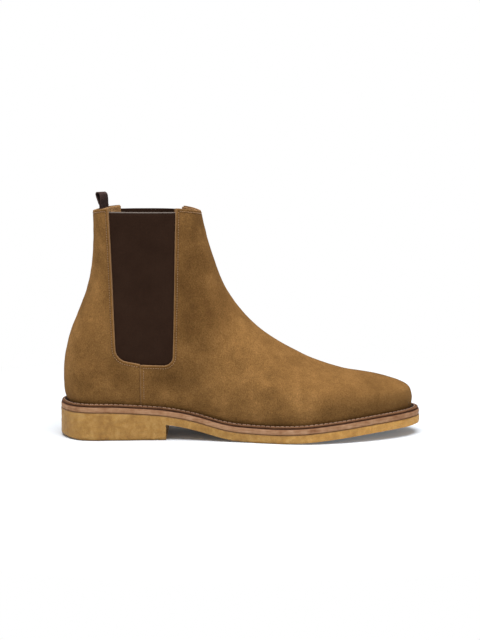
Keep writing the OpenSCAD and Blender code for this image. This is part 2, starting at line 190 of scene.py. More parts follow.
def gore_dist(x, z):
    """Side-view distance from the gore opening's edge, positive on the suede."""
    r = CORNER_R
    back = line_dist(*GORE_BACK, x, z) + r
    low_back = line_dist(GORE_BACK[1], GORE_LOW[0], x, z) + r
    low_front = line_dist(GORE_LOW[1], GORE_FRONT[0], x, z) + r
    front = line_dist(*GORE_FRONT, x, z) + r

    def corner(a, b):
        return np.hypot(np.maximum(a, 0), np.maximum(b, 0)) + np.minimum(np.maximum(a, b), 0) - r

    return np.where(x < SEAM_X, corner(back, low_back), corner(front, low_front))


def gore_gradient(x, z):
    e = 0.05
    gx = (gore_dist(x + e, z) - gore_dist(x - e, z)) / (2 * e)
    gz = (gore_dist(x, z + e) - gore_dist(x, z - e)) / (2 * e)
    return gx, gz


def true_share(gx, gz, n):
    """How much shorter a side-view distance along (gx, gz) is than the distance on the surface."""
    dot = gx * n[..., 0] + gz * n[..., 2]
    tx, ty, tz = gx - dot * n[..., 0], -dot * n[..., 1], gz - dot * n[..., 2]
    return np.maximum(0.35, np.sqrt(tx * tx + ty * ty + tz * tz))


def soft_noise(p, scale, seed):
    """A smooth wandering value of about -1 to 1, features of about scale millimetres."""
    rng = np.random.RandomState(seed)
    total = np.zeros(p.shape[:-1])
    for _ in range(7):
        k = rng.normal(size=3)
        k *= rng.uniform(0.6, 1.5) * 2 * math.pi / (scale * 2.2) / np.linalg.norm(k)
        total += np.sin(p @ k + rng.uniform(0, 6.28))
    return total / 3.2


# ---- mesh helpers
def row(p):
    return (np.asarray(p, float) - [HEEL_MID, 0, 0]) * MM


def in_scene(name, data):
    obj = bpy.data.objects.new(name, data)
    bpy.context.scene.collection.objects.link(obj)
    return obj


def lengths(path):
    """Distance along a path at each of its points."""
    return np.concatenate([[0], np.cumsum(np.linalg.norm(np.diff(path, axis=0), axis=1))])


def make(name, points, faces, material, sharp=38.0, values=None):
    """A mesh object from millimetre points. faces is a list of index arrays, one for each kind of polygon."""
    mesh = bpy.data.meshes.new(name)
    points = row(points)
    faces = [np.asarray(f, np.int64) for f in faces if len(f)]
    loops = np.concatenate([f.ravel() for f in faces])
    sizes = np.concatenate([np.full(len(f), f.shape[1]) for f in faces])
    mesh.vertices.add(len(points))
    mesh.vertices.foreach_set("co", points.astype(np.float32).ravel())
    mesh.loops.add(len(loops))
    mesh.loops.foreach_set("vertex_index", loops.astype(np.int32))
    mesh.polygons.add(len(sizes))
    mesh.polygons.foreach_set("loop_start", (np.cumsum(sizes) - sizes).astype(np.int32))
    mesh.polygons.foreach_set("loop_total", sizes.astype(np.int32))
    mesh.polygons.foreach_set("use_smooth", np.ones(len(sizes), bool))
    for key, value in (values or {}).items():
        attribute = mesh.attributes.new(key, "FLOAT", "POINT")
        attribute.data.foreach_set("value", np.asarray(value, np.float32))
    mesh.update(calc_edges=True)
    mesh.validate(clean_customdata=False)
    if sharp:
        mesh.set_sharp_from_angle(angle=math.radians(sharp))
    mesh.materials.append(material)
    return in_scene(name, mesh)


def grid_faces(rows, cols, wrap_rows=False, wrap_cols=False):
    i, j = np.indices((rows if wrap_rows else rows - 1, cols if wrap_cols else cols - 1))
    i2, j2 = (i + 1) % rows, (j + 1) % cols
    return np.stack([i * cols + j, i * cols + j2, i2 * cols + j2, i2 * cols + j], -1).reshape(-1, 4)


def clip_grid(vs, ts, keep):
    """Cuts a grid of levels and turns along keep = 0. Returns levels, turns and the faces by kind."""
    v, t = [a.ravel() for a in np.meshgrid(vs, ts, indexing="ij")]
    s = keep(v, t)
    quads = grid_faces(len(vs), len(ts))
    inside = (s >= 0)[quads]
    full = quads[inside.all(1)]
    new_v, new_t, where, tris, others = [], [], {}, [], []

    def cross(a, b):
        key = (a, b) if a < b else (b, a)
        if key not in where:
            f = s[a] / (s[a] - s[b])
            where[key] = len(v) + len(new_v)
            new_v.append(v[a] + (v[b] - v[a]) * f)
            new_t.append(t[a] + (t[b] - t[a]) * f)
        return where[key]

    for quad in quads[inside.any(1) & ~inside.all(1)]:
        for tri in ((quad[0], quad[1], quad[2]), (quad[0], quad[2], quad[3])):
            out = []
            for a, b in zip(tri, tri[1:] + tri[:1]):
                if s[a] >= 0:
                    out.append(a)
                if (s[a] >= 0) != (s[b] >= 0):
                    out.append(cross(a, b))
            if len(out) == 3:
                tris.append(out)
            elif len(out) == 4:
                others.append(out)
    v, t = np.concatenate([v, new_v]), np.concatenate([t, new_t])
    faces = [full, np.array(others, int).reshape(-1, 4), np.array(tris, int).reshape(-1, 3)]
    used = np.unique(np.concatenate([f.ravel() for f in faces]))
    index = np.full(len(v), -1)
    index[used] = np.arange(len(used))
    return v[used], t[used], [index[f] for f in faces]


def close_sheet(faces, count):
    """Faces of the solid between a sheet and its copy, count vertices on, walled along the sheet's edge."""
    edges = np.concatenate([np.stack([f, np.roll(f, -1, 1)], -1).reshape(-1, 2) for f in faces])
    code = np.sort(edges, 1) @ np.array([10**7, 1])
    _, first, many = np.unique(code, return_index=True, return_counts=True)
    rim = edges[first[many == 1]]
    walls = np.stack([rim[:, 1], rim[:, 0], rim[:, 0] + count, rim[:, 1] + count], -1)
    return faces + [f[:, ::-1] + count for f in faces] + [walls]


def end_strip(loop, flip):
    """Quads that close the end of a folded strip, whose outline runs out along one side and back."""
    quads = np.stack([loop[:-1], loop[1:], loop[::-1][1:], loop[::-1][:-1]], 1)[:len(loop) // 2 - 1]
    return quads[:, ::-1] if flip else quads


def steps(spans):
    """Values from a list of (start, end, step) stretches."""
    out = [np.arange(a, b - s * 0.5, s) for a, b, s in spans]
    return np.concatenate(out + [[spans[-1][1]]])


def level_for_z(z):
    """The level whose point on the outer side, at the ankle, lies at height z."""
    v = np.linspace(-0.4, 9.2, 600)
    return np.interp(z, last(v, 62.0)[:, 2], v)


# ---- materials
def srgb(r, g, b):
    def one(c):
        c /= 255.0
        return c / 12.92 if c <= 0.04045 else ((c + 0.055) / 1.055) ** 2.4
    return (one(r), one(g), one(b), 1.0)


class Nodes:
    """A short way to write node trees."""

    def __init__(self, name, kind="Material"):
        self.material = {"Material": bpy.data.materials, "World": bpy.data.worlds}[kind].new(name)
        self.material.use_nodes = True
        self.tree = self.material.node_tree
        self.tree.nodes.clear()
        self.out = self.node("Output" + kind)
        self.coords = self.node("TexCoord").outputs["Object"]

    def node(self, kind, values=(), **settings):
        """A new node. values maps its inputs, by name or number, to numbers or to other nodes' outputs."""
        n = self.tree.nodes.new("ShaderNode" + kind)
        for key, value in settings.items():
            setattr(n, key, value)
        for key, value in dict(values).items():
            self.put(n.inputs[key], value)
        return n

    def put(self, socket, value):
        if hasattr(value, "is_output"):
            self.tree.links.new(value, socket)
        else:
            socket.default_value = value

    def mapped(self, scale, rotation=(0, 0, 0)):
        return self.node("Mapping", {"Vector": self.coords, "Scale": scale, "Rotation": rotation}).outputs[0]

    def noise(self, scale, detail=4.0, rough=0.55, vector=None, distortion=0.0):
        return self.node("TexNoise", {"Vector": vector or self.coords, "Scale": scale, "Detail": detail,
                                      "Roughness": rough, "Distortion": distortion}).outputs["Fac"]

    def voronoi(self, scale, feature="F1"):
        n = self.node("TexVoronoi", {"Vector": self.coords, "Scale": scale}, feature=feature)
        return n.outputs["Distance"]

    def attribute(self, name):
        return self.node("Attribute", attribute_name=name).outputs["Fac"]

    def ramp(self, fac, stops):
        """Stops are (place, colour): three numbers up to 255, four linear ones, or one for grey."""
        n = self.node("ValToRGB", {0: fac})
        e = n.color_ramp.elements
        while len(e) < len(stops):
            e.new(0.5)
        for i, (at, colour) in enumerate(stops):
            e[i].position = at
            if not hasattr(colour, "__len__"):
                colour = (colour, colour, colour, 1)
            e[i].color = srgb(*colour) if len(colour) == 3 else colour
        return n.outputs[0]

    def between(self, fac, dark, light, low=0.35):
        return self.ramp(fac, [(low, dark), (1 - low, light)])

    def math(self, kind, *values):
        return self.node("Math", enumerate(values), operation=kind).outputs[0]

    def weighted(self, *parts):
        """The sum of (value, share) pairs."""
        products = [self.math("MULTIPLY", value, share) for value, share in parts]
        total = products[0]
        for product in products[1:]:
            total = self.math("ADD", total, product)
        return total

    def map_range(self, value, low, high, to_low=0.0, to_high=1.0):
        return self.node("MapRange", {"Value": value, "From Min": low, "From Max": high,
                                      "To Min": to_low, "To Max": to_high}).outputs[0]

    def mix(self, fac, a, b, kind="MIX"):
        return self.node("Mix", {0: fac, 6: a, 7: b}, data_type="RGBA", blend_type=kind).outputs[2]

    def tint(self, colour, by):
        return self.mix(1.0, colour, by, "MULTIPLY")

    def mix_shaders(self, fac, a, b):
        return self.node("MixShader", {0: fac, 1: a, 2: b}).outputs[0]

    def bump(self, height, strength, distance, normal=None):
        n = self.node("Bump", {"Strength": strength, "Distance": distance, "Height": height})
        if normal is not None:
            self.put(n.inputs["Normal"], normal)
        return n.outputs[0]

    def finish(self, colour, roughness, normal, **more):
        bsdf = self.node("BsdfPrincipled", {"Base Color": colour, "Roughness": roughness, "Normal": normal})
        for key, value in more.items():
            self.put(bsdf.inputs[key.replace("_", " ")], value)
        self.put(self.out.inputs[0], bsdf.outputs[0])
        return self.material


def suede_material(name, dark, mid, light, edge_colour):
    m = Nodes(name)
    cloud = m.noise(42, 3, 0.5)
    patch = m.noise(150, 4, 0.6, distortion=0.6)
    grain = m.noise(900, 3, 0.7)
    fibre = m.noise(1500, 2, 0.6, m.mapped((1, 1, 0.6), (0.3, 0.5, 0.2)))
    tone = m.weighted((cloud, 0.42), (patch, 0.28), (grain, 0.3))
    colour = m.ramp(tone, [(0.36, dark), (0.5, mid), (0.64, light)])
    speck = m.ramp(fibre, [(0.3, 0.7), (0.5, 1.0), (0.72, 1.3)])
    colour = m.tint(colour, speck)
    # painted shade and painted light in broad spots, with a random mottle of the nap
    nap_and_painted_shade = m.ramp(m.math("MULTIPLY_ADD", m.attribute("nap_and_painted_shade"), 0.5, 0.5),
                 [(0.0, (0.66, 0.64, 0.6, 1)), (0.5, 1.0), (1.0, (1.3, 1.32, 1.34, 1))])
    colour = m.tint(colour, nap_and_painted_shade)
    # painted shade in the stitch rows' grooves and along the side seam, and a painted shadow on the band just
    # above the welt
    colour = m.mix(m.attribute("painted_groove_shade"), colour, m.tint(colour, (0.42, 0.38, 0.34, 1)))
    colour = m.mix(m.attribute("edge"), colour, srgb(*edge_colour))
    normal = m.bump(m.math("ADD", grain, fibre), 0.7, 0.0004)
    normal = m.bump(patch, 0.25, 0.0008, normal)
    return m.finish(colour, 0.95, normal, Sheen_Weight=0.22, Sheen_Roughness=0.4, Sheen_Tint=srgb(*light),
                    Specular_IOR_Level=0.06)


def leather_material(name, dark, light, rough=0.45, spec=0.45):
    m = Nodes(name)
    cloud = m.noise(70, 4, 0.6)
    cells = m.voronoi(1400)
    colour = m.between(cloud, dark, light)
    facing = m.between(cloud, (138, 101, 64), (164, 125, 84))
    colour = m.mix(m.attribute("facing"), colour, facing)
    normal = m.bump(cells, 0.3, 0.0002)
    roughness = m.ramp(m.noise(260, 3), [(0.3, rough - 0.08), (0.7, rough + 0.12)])
    return m.finish(colour, roughness, normal, Specular_IOR_Level=spec)


def crepe_material(name):
    m = Nodes(name)
    cloud = m.noise(60, 4, 0.6, distortion=0.8)
    curd = m.voronoi(620, "SMOOTH_F1")
    fine = m.noise(1300, 3, 0.6)
    drag = m.noise(170, 4, 0.6, m.mapped((1.2, 1.2, 0.8), (0.0, 0.25, 0.0)), 0.5)
    tone = m.weighted((cloud, 0.4), (drag, 0.4), (fine, 0.2))
    colour = m.ramp(tone, [(0.36, (136, 96, 42)), (0.5, (160, 118, 56)), (0.64, (180, 140, 78))])
    # painted light: the crepe lighter and yellower towards the toe, where more light falls
    colour = m.mix(m.attribute("painted_toe_light"), colour, m.tint(colour, (1.42, 1.4, 1.4, 1)))
    # painted shade along the crepe's top edge, in the joint under the midsole
    colour = m.mix(m.attribute("painted_joint_shade"), colour, srgb(92, 64, 36))
    normal = m.bump(curd, 0.3, 0.0005)
    normal = m.bump(fine, 0.35, 0.0004, normal)
    return m.finish(colour, 0.62, normal, Subsurface_Weight=0.12, Subsurface_Scale=0.003,
                    Subsurface_Radius=(1.0, 0.6, 0.25), Specular_IOR_Level=0.35)


def edge_leather_material(name):
    m = Nodes(name)
    cloud = m.noise(110, 4, 0.6)
    layers = m.noise(900, 3, 0.6, m.mapped((0.12, 0.12, 1.6)))
    tone = m.weighted((cloud, 0.55), (layers, 0.45))
    colour = m.ramp(tone, [(0.34, (128, 86, 57)), (0.5, (157, 117, 85)), (0.66, (180, 142, 110))])
    # painted shade along the midsole's top and bottom edges, in the joints with the welt and the crepe
    colour = m.mix(m.attribute("painted_joint_shade"), colour, srgb(92, 58, 40))
    normal = m.bump(layers, 0.4, 0.0003)
    return m.finish(colour, 0.7, normal, Specular_IOR_Level=0.12)


def welt_material(name):
    m = Nodes(name)
    cloud = m.noise(130, 4, 0.6)
    grain = m.noise(1500, 3, 0.6)
    colour = m.between(cloud, (76, 47, 28), (100, 66, 42))
    # painted highlight on the welt's crest and the tops of its notches
    colour = m.mix(m.attribute("edge"), colour, srgb(140, 102, 72))
    # painted shade under the bead, in the joint with the midsole, and in the groove between the welt and the
    # upper
    colour = m.mix(m.attribute("painted_joint_shade"), colour, srgb(44, 28, 19))
    normal = m.bump(grain, 0.35, 0.0002)
    return m.finish(colour, 0.7, normal, Specular_IOR_Level=0.1)


def elastic_material(name):
    m = Nodes(name)
    cloud = m.noise(60, 3, 0.6)
    weave = m.node("TexWave", {"Vector": m.mapped((0, 0, 1)), "Scale": 260}, bands_direction="Z")
    fuzz = m.noise(1800, 3, 0.65)
    tone = m.weighted((cloud, 0.6), (fuzz, 0.4))
    colour = m.between(tone, (43, 28, 20), (50, 34, 25))
    # painted highlight: a light grey line where the elastic turns over at its top
    colour = m.mix(m.attribute("edge"), colour, srgb(112, 104, 98))
    normal = m.bump(weave.outputs["Fac"], 0.25, 0.0002)
    normal = m.bump(fuzz, 0.25, 0.0002, normal)
    return m.finish(colour, 0.9, normal, Specular_IOR_Level=0.04)


def webbing_material(name, dark, light):
    m = Nodes(name)
    cloud = m.noise(180, 3, 0.6)
    fuzz = m.noise(1600, 3, 0.65)
    tone = m.weighted((cloud, 0.5), (fuzz, 0.5))
    colour = m.between(tone, dark, light)
    normal = m.bump(fuzz, 0.35, 0.0002)
    return m.finish(colour, 0.8, normal, Sheen_Weight=0.04, Sheen_Roughness=0.5, Specular_IOR_Level=0.15)


def thread_material(name, dark, light):
    m = Nodes(name)
    twist = m.noise(2600, 2, 0.6, m.mapped((1, 1, 0.4), (0.4, 0.4, 0.8)))
    colour = m.between(twist, dark, light)
    normal = m.bump(twist, 0.4, 0.0002)
    return m.finish(colour, 0.65, normal, Sheen_Weight=0.1, Specular_IOR_Level=0.35)


def steel_material(name):
    m = Nodes(name)
    drag = m.noise(700, 3, 0.6, m.mapped((0.05, 1, 1)))
    colour = m.ramp(drag, [(0.3, (0.38, 0.39, 0.41, 1)), (0.7, (0.6, 0.61, 0.63, 1))])
    return m.finish(colour, 0.35, m.bump(drag, 0.2, 0.0001), Metallic=1.0)


def board_material(name, dark, light):
    m = Nodes(name)
    chips = m.voronoi(900)
    cloud = m.noise(400, 4, 0.65)
    colour = m.between(m.weighted((chips, 0.6), (cloud, 0.5)), dark, light, 0.3)
    return m.finish(colour, 0.85, m.bump(chips, 0.4, 0.0003), Specular_IOR_Level=0.2)


SUEDE = suede_material("suede", (103, 73, 39), (120, 86, 47), (138, 101, 58), (148, 114, 82))
INNER_SUEDE = suede_material("inner_suede", (132, 96, 60), (152, 114, 74), (172, 134, 94), (176, 140, 100))
ELASTIC = elastic_material("elastic")
LINING = leather_material("lining", (24, 19, 17), (37, 31, 28), spec=0.15)
SOCK = leather_material("sock", (30, 25, 22), (46, 39, 35), rough=0.5)
WEBBING = webbing_material("webbing", (40, 26, 22), (68, 48, 42))
CREPE = crepe_material("crepe")
MIDSOLE = edge_leather_material("sole_leather")
WELT = welt_material("welt_leather")
THREAD = thread_material("thread", (124, 90, 54), (156, 118, 78))
WELT_THREAD = thread_material("welt_thread", (120, 88, 66), (188, 150, 122))
STEEL = steel_material("steel")
BOARD = board_material("stiffener", (176, 150, 110), (214, 196, 160))
INSOLE = board_material("insole_leather", (176, 138, 98), (206, 172, 132))
CORK = board_material("cork", (120, 80, 48), (190, 142, 96))
CANVAS = webbing_material("canvas", (196, 184, 156), (224, 214, 190))
TAPE = webbing_material("tape", (208, 202, 188), (232, 228, 216))


def flexes(obj, slot, node):
    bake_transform(obj)
    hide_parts(node)


def opens(obj, slot, node):
    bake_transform(obj)
    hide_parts(node)


# ---- suede pieces and linings
SUEDE_T = 1.5
LIFT = 1.7            # how far the suede goes on below the feather line, to just under the welt's top
Z_LEVELS = steps([(29, 33, 0.8), (33, 56, 1.1), (56, 71, 0.5), (71, 179, 1.25), (179, 193.2, 0.42)])
LEVELS = np.unique(np.concatenate([np.linspace(-0.34, 0.12, 9), level_for_z(Z_LEVELS[Z_LEVELS > 36]),
                                   np.linspace(0.2, 0.9, 7)]))
ROW_AT = 2.4          # stitch row from an edge


def upper_distances(v, t, front):
    p = last(v, t)
    n = last_normal(v, t)
    x, z, ox = p[..., 0], p[..., 2], opening_x(p)
    gx, gz = gore_gradient(ox, z)
    gore = gore_dist(ox, z) / true_share(gx, gz, n)
    one, zero = np.ones_like(x), np.zeros_like(x)
    seam = (x - SEAM_X if front else SEAM_X - x) / true_share(one, zero, n)
    top = (topline(x) - z) / true_share(-topline_slope(x), one, n)
    low = z - (sole_z(x) + FEATHER_H - LIFT)
    return p, n, gore, seam, top, low


def ease(x):
    x = np.clip(x, 0, 1)
    return x * x * (3 - 2 * x)


# Painted shade (-) and painted light (+) on the suede, where the light falls darker or lighter: x, z, their
# reaches and how much.
PAINTED_LIGHT_AND_SHADE = [(112, 150, 16, 55, -0.9), (118, 95, 20, 26, -1.0), (84, 52, 40, 9, -0.9), (60, 44, 14, 8, -0.3),
       (26, 46, 10, 16, -0.6), (150, 72, 30, 16, 0.7), (190, 52, 40, 12, 0.4), (30, 105, 8, 60, 0.5),
       (135, 50, 22, 12, 0.6), (70, 46, 6, 14, 0.5), (262, 26, 50, 8, -0.5), (195, 34, 45, 14, 0.4)]


def cut_sheet(levels, step, front, gore_in, top_in, low):
    """The last's surface cut to a front or back piece's outline, with its low edge above the crepe's top."""
    def keep(v, t):
        p = last(v, t)
        x, z = p[..., 0], p[..., 2]
        seam = x - SEAM_X if front else SEAM_X - x
        return np.minimum.reduce([gore_dist(opening_x(p), z) - gore_in, seam - 0.02, topline(x) - top_in - z,
                                  z - (sole_z(x) + low)])

    span = (48.0, 312.0, step) if front else (-76.0, 76.0, step)
    return clip_grid(levels, steps([span]), keep)


def suede_piece(name, front):
    v, t, faces = cut_sheet(LEVELS, 0.42, front, 0, 0, FEATHER_H - LIFT)
    p, n, gore, seam, top, low = upper_distances(v, t, front)
    below = p[..., 2] < 67
    seam = np.where(below, seam, 99)

    def roll(d, width, depth):
        return -depth * (1 - np.clip(d / width, 0, 1)) ** 2

    def row_dip(d):
        return -0.24 * np.exp(-(((d - ROW_AT) / 0.75) ** 2))

    out = roll(gore, 1.1, 0.45) + roll(top, 1.1, 0.35)
    out += roll(seam, 1.0, 0.12) + 0.22 * np.exp(-((seam / 2.2) ** 2)) if front else roll(seam, 1.4, 0.4)
    out += row_dip(gore) * ease((top - 1.5) / 1.5) + row_dip(top) * ease((gore - 1.5) / 1.5)
    out += 0.12 * np.exp(-((gore / 1.6 - 0.7) ** 2))
    out += 0.34 * soft_noise(p, 34, 3) * ease(gore / 14) * ease(top / 14) * ease(low / 12)
    out += 0.08 * soft_noise(p, 7, 5) * ease(gore / 4) + 0.03 * soft_noise(p, 2.6, 7)
    nearest = np.minimum(gore, top)
    edge = np.clip(1 - nearest / 0.42, 0, 1)
    if front:
        edge = np.maximum(edge, 0.6 * np.clip(1 - seam / 0.9, 0, 1))
    # painted shade in the stitch row's groove and along the seam, and a painted shadow on the band just above
    # the welt
    painted_groove_shade = 0.85 * np.exp(-(((nearest - ROW_AT) / 0.5) ** 2))
    painted_groove_shade += (0.1 if front else 0.4) * np.clip(1 - seam / 1.0, 0, 1)
    painted_groove_shade += 0.9 * np.clip(1 - low / 5.0, 0, 1) ** 2
    # broad spots of painted shade and painted light, then a random mottle of the nap
    nap_and_painted_shade = sum(k * np.exp(-(((p[:, 0] - x) / rx) ** 2) - ((p[:, 2] - z) / rz) ** 2)
              for x, z, rx, rz, k in PAINTED_LIGHT_AND_SHADE)
    nap_and_painted_shade = nap_and_painted_shade + 0.25 * soft_noise(p, 17, 61) + 0.15 * soft_noise(p, 8, 67)
    points = np.concatenate([p + out[:, None] * n, p + (-SUEDE_T + 0.04) * n])
    values = {"edge": np.concatenate([edge, np.ones_like(edge) * 0.7]),
              "painted_groove_shade": np.concatenate([np.clip(painted_groove_shade, 0, 1), np.zeros_like(painted_groove_shade)]),
              "nap_and_painted_shade": np.concatenate([nap_and_painted_shade, nap_and_painted_shade])}
    return make(name, points, close_sheet(faces, len(v)), SUEDE, values=values)


TAB_TURN, TAB_LEVEL, TAB_W, TAB_T, TAB_H = 333.0, 8.9, 11.0, 1.0, 12.4
MIDDLE_OUT = 1.55
TAB_FOOT = skin(TAB_LEVEL, TAB_TURN, -MIDDLE_OUT - TAB_T)
TAB_Z = float(topline(TAB_FOOT[0])) + 0.4
TAB_ANGLE = math.atan2(*last_normal(TAB_LEVEL, TAB_TURN)[[1, 0]])


FACING_H = 15.0       # the suede facing along the inside of the collar
LINING_LOW = 8.7      # the lining's low edge, above the crepe's top
LINING_OUT = -2.83
LINING_T = 1.1


def lining_piece(name, front):
    z_levels = steps([(37, 178, 2.2), (178, 193, 0.6)])
    levels = np.unique(np.concatenate([np.linspace(-0.1, 0.9, 9), level_for_z(z_levels)]))
    v, t, faces = cut_sheet(levels, 0.8 if front else 0.7, front, 0.3, 0.5, LINING_LOW)
    p, n, gore, seam, top, low = upper_distances(v, t, front)
    along = np.linalg.norm(p[:, :2] - TAB_FOOT[:2], axis=1)
    clear_of_tab = ease((along - 6.2) / 4) if not front else 1.0
    close_up = 1.2 * ease((9 - top) / 7) * ease((gore - 8.6) / 3) * clear_of_tab
    bulge = 0 if front else -0.85 * (1 - clear_of_tab) * ease((15 - top) / 5)
    outer = LINING_OUT + close_up + bulge - 0.25 * (1 - np.clip(top / 0.9, 0, 1)) ** 2
    inner = outer - LINING_T + 0.5 * (1 - np.clip((top - 0.4) / 0.9, 0, 1)) ** 2
    inner += 0.15 * soft_noise(p, 26, 11)
    points = np.concatenate([p + outer[:, None] * n, p + inner[:, None] * n])
    edge = np.clip(1 - np.minimum(gore, top - 0.4) / 0.6, 0, 1)
    facing = np.clip((FACING_H - top) / 0.6, 0, 1) if front else 0 * top
    values = {"edge": np.concatenate([edge, edge * 0.6]), "facing": np.concatenate([facing, facing])}
    material = LINING if front else INNER_SUEDE
    return make(name, points, close_sheet(faces, len(v)), material, values=values)


flexes(suede_piece("suede_vamp", True), "suede", "vamp")
opens(suede_piece("suede_quarter", False), "suede", "quarter")
flexes(lining_piece("lining_vamp", True), "lining", "vamp_lining")
opens(lining_piece("lining_quarter", False), "inner_suede", "quarter_lining")

# ---- elastic gores
GORE_DROP = 0.2
RIB = 1.15
ELASTIC_OUT, ELASTIC_IN = -1.62, -2.74
TURN_R = 0.56         # half the thickness where the elastic turns over at its top


def edge_x(line, z):
    (xa, za), (xb, zb) = line
    return xa + (xb - xa) * (z - za) / (zb - za)


def gore_piece(name, side):
    z_top = TOP - GORE_DROP
    across = np.linspace(0, 1, 281)
    up = steps([(56.5, z_top - 6, 1.6), (z_top - 6, z_top - 0.6, 0.45)])
    z, f = np.meshgrid(up, across, indexing="ij")
    trim = 3.5 * ease((z - (z_top - 16)) / 3) if side > 0 else 0
    back = edge_x(GORE_BACK, z) - GORE_UNDER + trim
    front = edge_x(GORE_FRONT, z) + GORE_UNDER
    x = back + (front - back) * f + (GORE_SHIFT if side > 0 else 0)
    v, t = find_on_last(x, z, side)
    p, n = last(v, t), last_normal(v, t)
    rib = np.cos(2 * math.pi * (x - 40) / RIB)
    band = ease((z - (z_top - 4.2)) / 0.6)
    out = ELASTIC_OUT + 0.085 * rib * (1 - 0.7 * band) + 0.07 * band
    out += 0.1 * soft_noise(p, 30, 17)
    inner = ELASTIC_IN - 0.05 * rib
    turn_over = []
    for a in np.radians([25, 50, 75, 90, 105, 130, 155]):
        turn = ELASTIC_OUT - TURN_R + TURN_R * math.cos(a)
        turn_over.append(p[-1] + turn * n[-1] + np.array([0, 0, 0.75 * math.sin(a)]))
    points = np.concatenate([p + out[..., None] * n, turn_over, (p + inner[..., None] * n)[::-1]])
    r, c = points.shape[:2]
    faces = [grid_faces(r, c, wrap_rows=True)]
    if side > 0:
        faces = [f[:, ::-1] for f in faces]
    ids = np.arange(r * c).reshape(r, c)
    faces += [end_strip(ids[:, 0], side < 0), end_strip(ids[:, -1], side > 0)]
    edge = np.zeros((r, c))
    k = len(up)
    # painted highlight along the turn-over at the top
    edge[k - 1:k + 4] = [[0.35], [0.75], [1.0], [0.8], [0.5]]
    return make(name, points.reshape(-1, 3), faces, ELASTIC, values={"edge": edge.ravel()})


for side, name in ((-1, "gore_lateral"), (1, "gore_medial")):
    gore = gore_piece("elastic_" + name, side)
    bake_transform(gore)
    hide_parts(name)


# ---- stitching
STITCH_PITCH = 2.0
STITCH_GAP = 0.36     # the share of the pitch that shows no thread
THREAD_R, WELT_THREAD_R = 0.34, 0.38
THREAD_DIP, THREAD_LAY, THREAD_SIDES = 0.3, 0.9, 8


def thread_mesh(name, starts, ends, normals, radius, material, lift=0.14):
    """Short stitches that rise out of the surface, lie on it and go down again."""
    starts, ends, normals = (np.asarray(a, float) for a in (starts, ends, normals))
    across = np.cross(normals, ends - starts)
    across /= np.linalg.norm(across, axis=1, keepdims=True)
    along = np.array([-0.02, 0.06, 0.2, 0.5, 0.8, 0.94, 1.02])
    height = np.array([-THREAD_DIP, *(lift * np.array([0.35, 0.85, 1, 0.85, 0.35])), -THREAD_DIP])
    size = np.array([0.75, 1, 1, 1, 1, 1, 0.75])
    sides = THREAD_SIDES
    rings = []
    for a, h, s in zip(along, height, size):
        c = starts + (ends - starts) * a + normals * h
        for k in range(sides):
            w = 2 * math.pi * k / sides
            rings.append(c + radius * s * (math.cos(w) * across + THREAD_LAY * math.sin(w) * normals))
    points = np.stack(rings, 1).reshape(len(starts), -1, 3)
    one = grid_faces(len(along), sides, wrap_cols=True)
    caps = np.array([list(range(sides))[::-1], [(len(along) - 1) * sides + k for k in range(sides)]])
    base = (np.arange(len(starts)) * points.shape[1])[:, None, None]
    faces = [(one[None] + base).reshape(-1, 4), (caps[None] + base).reshape(-1, sides)]
    return make(name, points.reshape(-1, 3), faces, material, sharp=None)


def stitch_ends(p, length, count, margin):
    """Where each stitch of a row starts and ends, along the row and as points."""
    place = (np.arange(count)[:, None] + [margin, 1 - margin]) * length[-1] / count
    both = [np.stack([np.interp(place[:, e], length, p[:, k]) for k in range(3)], 1) for e in (0, 1)]
    return place, both


class Row:
    """Collects stitches along rows on the last."""

    def __init__(self):
        self.starts, self.ends, self.normals = [], [], []

    def add(self, v, t):
        p = last(v, t)
        length = lengths(p)
        count = max(1, int(round(length[-1] / STITCH_PITCH)))
        place, both = stitch_ends(p, length, count, STITCH_GAP / 2)
        mid = place.mean(1)
        n = last_normal(np.interp(mid, length, v), np.interp(mid, length, t))
        self.starts += list(both[0])
        self.ends += list(both[1])
        self.normals += list(n)

    def mesh(self, name):
        return thread_mesh(name, self.starts, self.ends, self.normals, THREAD_R, THREAD)


def gore_row(rows, side, front):
    """The row that follows the opening's edge from the topline down and round to the side seam."""
    shift = GORE_SHIFT if side > 0 else 0
    line, low = (GORE_FRONT, GORE_LOW[1]) if front else (GORE_BACK, GORE_LOW[0])
    corner = line[0] if front else line[1]
    z, f = np.arange(TOP + 3, corner[1] + 0.2, -0.5), np.linspace(0, 1, 50)
    x = np.concatenate([edge_x(line, z), corner[0] + (low[0] - corner[0]) * f])
    z = np.concatenate([z, corner[1] + (low[1] - corner[1]) * f])
    for _ in range(12):
        v, t = find_on_last(x + shift, z, side)
        n = last_normal(v, t)
        gx, gz = gore_gradient(x, z)
        step = ROW_AT * true_share(gx, gz, n) - gore_dist(x, z)
        x, z = x + gx * step * 0.8, z + gz * step * 0.8
    x = x + shift
    keep = (x > SEAM_X + 1.6) if front else (x < SEAM_X - 1.6)
    keep &= z < topline(x) - ROW_AT + 0.3
    order = np.argsort(np.mod(np.degrees(np.arctan2(z - 100, x - SEAM_X - shift)) + 90, 360)[keep])
    v, t = find_on_last(x[keep][order], z[keep][order], side)
    rows.add(v, t)


def collar_row(rows, front):
    turns = np.linspace(60, 300, 241) if front else np.linspace(-70, 70, 141)
    level = np.full(turns.shape, level_for_z(TOP - ROW_AT))
    for _ in range(20):
        p, n, gore, seam, top, low = upper_distances(level, turns, front)
        level += (top - ROW_AT) * 0.02
    good = gore > ROW_AT
    rows.add(level[good], turns[good])


def seam_rows(rows):
    for side in (-1, 1):
        rows.add(*find_on_last(SEAM_X + 3.0, np.arange(58.6, 33.5, -0.5), side))


